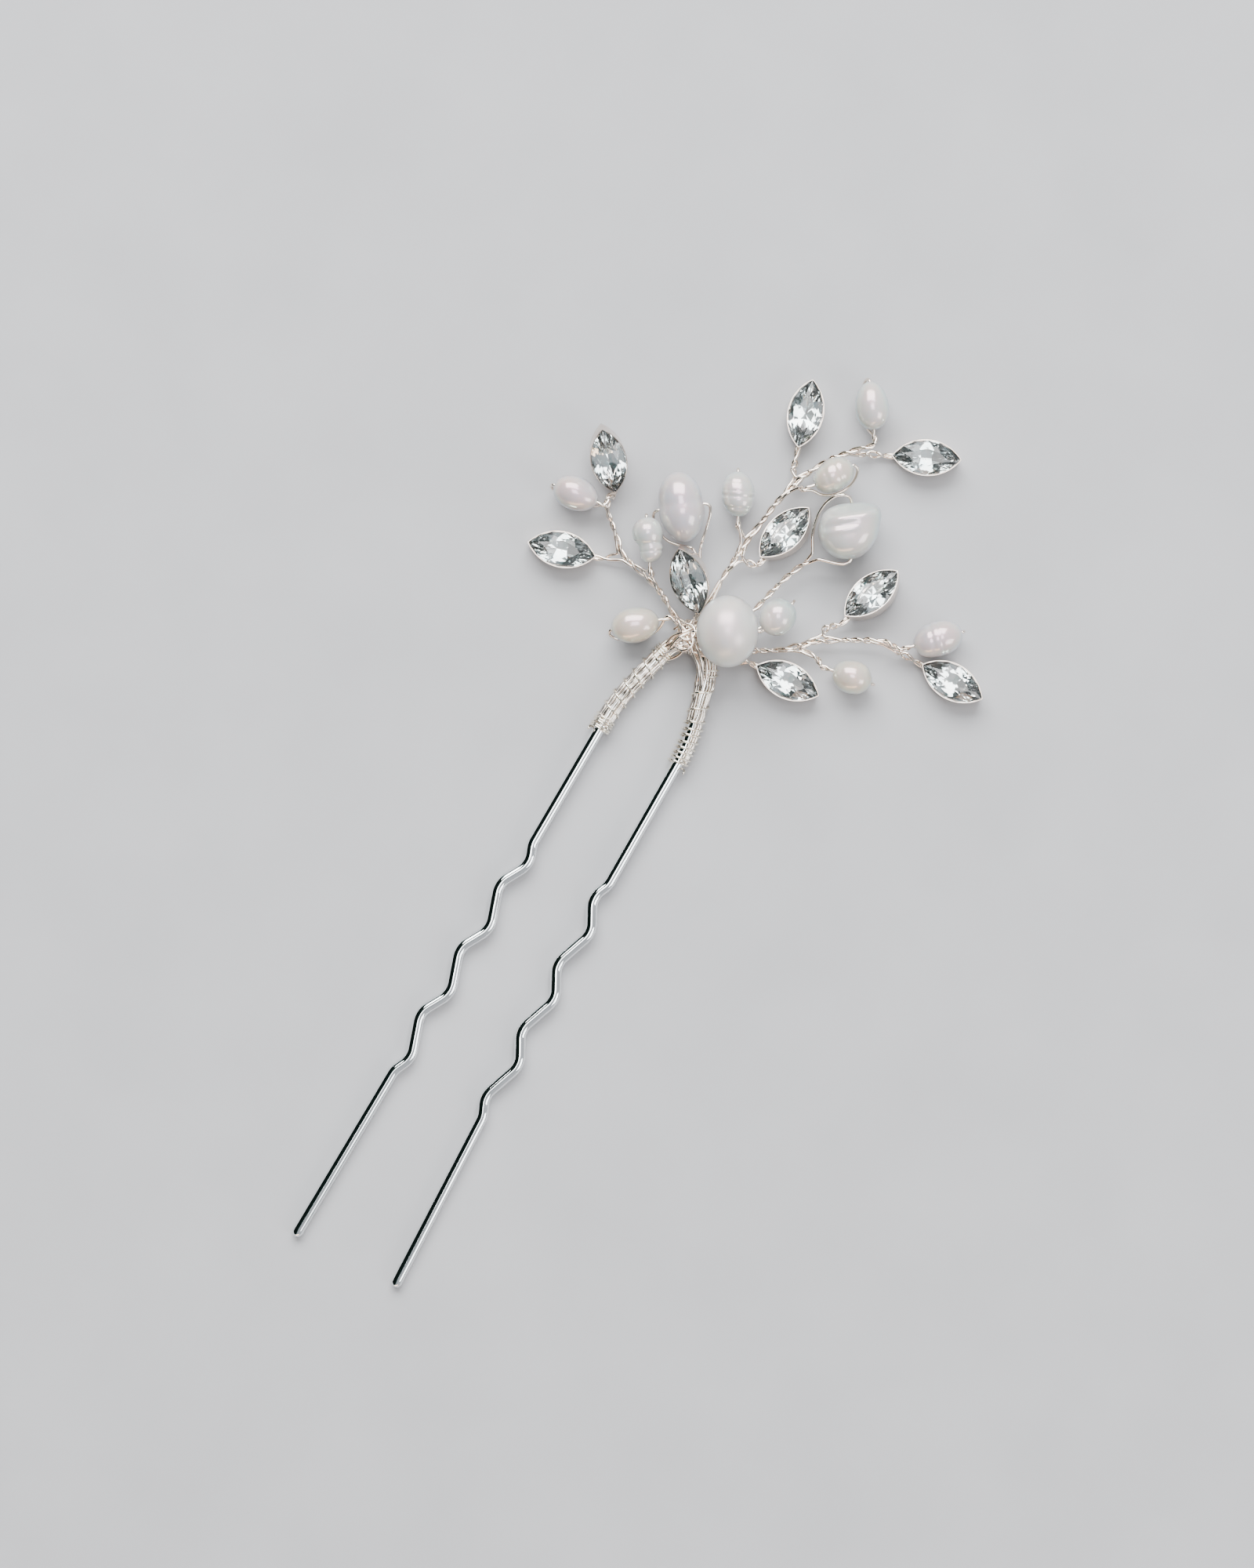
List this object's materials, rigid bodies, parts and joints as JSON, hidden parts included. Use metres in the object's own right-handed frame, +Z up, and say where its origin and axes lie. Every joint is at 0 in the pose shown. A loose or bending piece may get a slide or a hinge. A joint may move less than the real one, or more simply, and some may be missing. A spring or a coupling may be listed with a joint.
{
  "type": "hair pin",
  "caption": "Wavy two-legged wire hair pin whose crown carries a fan of twisted wire stems with threaded freshwater pearls and navette crystals.",
  "frame": {"origin": "centre of the outline, on the plane the pin lies on", "axes": "+Y from the leg tips to the crown and its spray, +X to the right as the pin lies, +Z up out of the plane it lies on"},
  "size_m": [0.0586, 0.1252, 0.0111],
  "materials": {
    "bright_silver_wire": "polished",
    "craft_wire": "polished",
    "nacre": "pearl lustre",
    "setting_metal": "polished",
    "crystal": "cut and polished"
  },
  "bodies": {
    "pin": {"pin_frame": "bright_silver_wire", "tail_wires_left": "craft_wire", "tail_wires_right": "craft_wire", "binding_left": "craft_wire", "binding_right": "craft_wire", "binding_hub": "craft_wire", "wire_left_branch": "craft_wire", "wire_low_left_pearl": "craft_wire", "wire_centre_crystal": "craft_wire", "wire_big_oval_pearl": "craft_wire", "wire_top_branch": "craft_wire", "wire_baroque_pearl": "craft_wire", "wire_centre_pearls": "craft_wire", "wire_right_branch": "craft_wire", "wire_low_crystal": "craft_wire", "setting_left_tip": "setting_metal", "setting_left_low": "setting_metal", "setting_centre": "setting_metal", "setting_top": "setting_metal", "setting_top_right": "setting_metal", "setting_inner": "setting_metal", "setting_right_upper": "setting_metal", "setting_low": "setting_metal", "setting_right_tip": "setting_metal", "crystal_left_tip": "crystal", "crystal_left_low": "crystal", "crystal_centre": "crystal", "crystal_top": "crystal", "crystal_top_right": "crystal", "crystal_inner": "crystal", "crystal_right_upper": "crystal", "crystal_low": "crystal", "crystal_right_tip": "crystal"},
    "pearl_far_left_body": {"pearl_far_left": "nacre"},
    "pearl_double_body": {"pearl_double": "nacre"},
    "pearl_big_oval_body": {"pearl_big_oval": "nacre"},
    "pearl_ringed_upper_body": {"pearl_ringed_upper": "nacre"},
    "pearl_top_body": {"pearl_top": "nacre"},
    "pearl_looped_body": {"pearl_looped": "nacre"},
    "pearl_baroque_body": {"pearl_baroque": "nacre"},
    "pearl_centre_body": {"pearl_centre": "nacre"},
    "pearl_small_round_body": {"pearl_small_round": "nacre"},
    "pearl_low_left_body": {"pearl_low_left": "nacre"},
    "pearl_low_right_body": {"pearl_low_right": "nacre"},
    "pearl_ringed_right_body": {"pearl_ringed_right": "nacre"}
  },
  "joints": [
    {"name": "turn_pearl_far_left", "type": "hinge", "parent": "pin", "child": "pearl_far_left_body", "pos_m": [-0.02599, 0.0327, 0.0029], "axis": [-0.9903, -0.1392, 0], "continuous": true},
    {"name": "turn_pearl_double", "type": "hinge", "parent": "pin", "child": "pearl_double_body", "pos_m": [-0.01554, 0.03215, 0.0044], "axis": [-0.5592, 0.829, 0], "continuous": true},
    {"name": "turn_pearl_big_oval", "type": "hinge", "parent": "pin", "child": "pearl_big_oval_body", "pos_m": [-0.01409, 0.0377, 0.0034], "axis": [-0.788, -0.6157, 0], "range_deg": [-15, 15]},
    {"name": "turn_pearl_ringed_upper", "type": "hinge", "parent": "pin", "child": "pearl_ringed_upper_body", "pos_m": [-0.00889, 0.0425, 0.0029], "axis": [-0.5, 0.866, 0], "continuous": true},
    {"name": "turn_pearl_top", "type": "hinge", "parent": "pin", "child": "pearl_top_body", "pos_m": [-0.00019, 0.0599, 0.0029], "axis": [-0.5736, 0.8192, 0], "continuous": true},
    {"name": "turn_pearl_looped", "type": "hinge", "parent": "pin", "child": "pearl_looped_body", "pos_m": [0.00001, 0.0502, 0.0042], "axis": [0.5446, 0.8387, 0], "continuous": true},
    {"name": "turn_pearl_baroque", "type": "hinge", "parent": "pin", "child": "pearl_baroque_body", "pos_m": [0.00527, 0.04545, 0.004], "axis": [-0.5, 0.866, 0], "range_deg": [-12, 12]},
    {"name": "turn_pearl_centre", "type": "hinge", "parent": "pin", "child": "pearl_centre_body", "pos_m": [-0.00169, 0.0273, 0.0067], "axis": [0.866, 0.5, 0], "continuous": true},
    {"name": "turn_pearl_small_round", "type": "hinge", "parent": "pin", "child": "pearl_small_round_body", "pos_m": [0.00271, 0.0319, 0.0046], "axis": [0.309, 0.9511, 0], "continuous": true},
    {"name": "turn_pearl_low_left", "type": "hinge", "parent": "pin", "child": "pearl_low_left_body", "pos_m": [-0.01179, 0.0225, 0.0031], "axis": [-0.7431, -0.6691, 0], "continuous": true},
    {"name": "turn_pearl_low_right", "type": "hinge", "parent": "pin", "child": "pearl_low_right_body", "pos_m": [0.01421, 0.0302, 0.0028], "axis": [0.9816, 0.1908, 0], "continuous": true},
    {"name": "turn_pearl_ringed_right", "type": "hinge", "parent": "pin", "child": "pearl_ringed_right_body", "pos_m": [0.02091, 0.0394, 0.003], "axis": [0.6947, 0.7193, 0], "continuous": true}
  ]
}
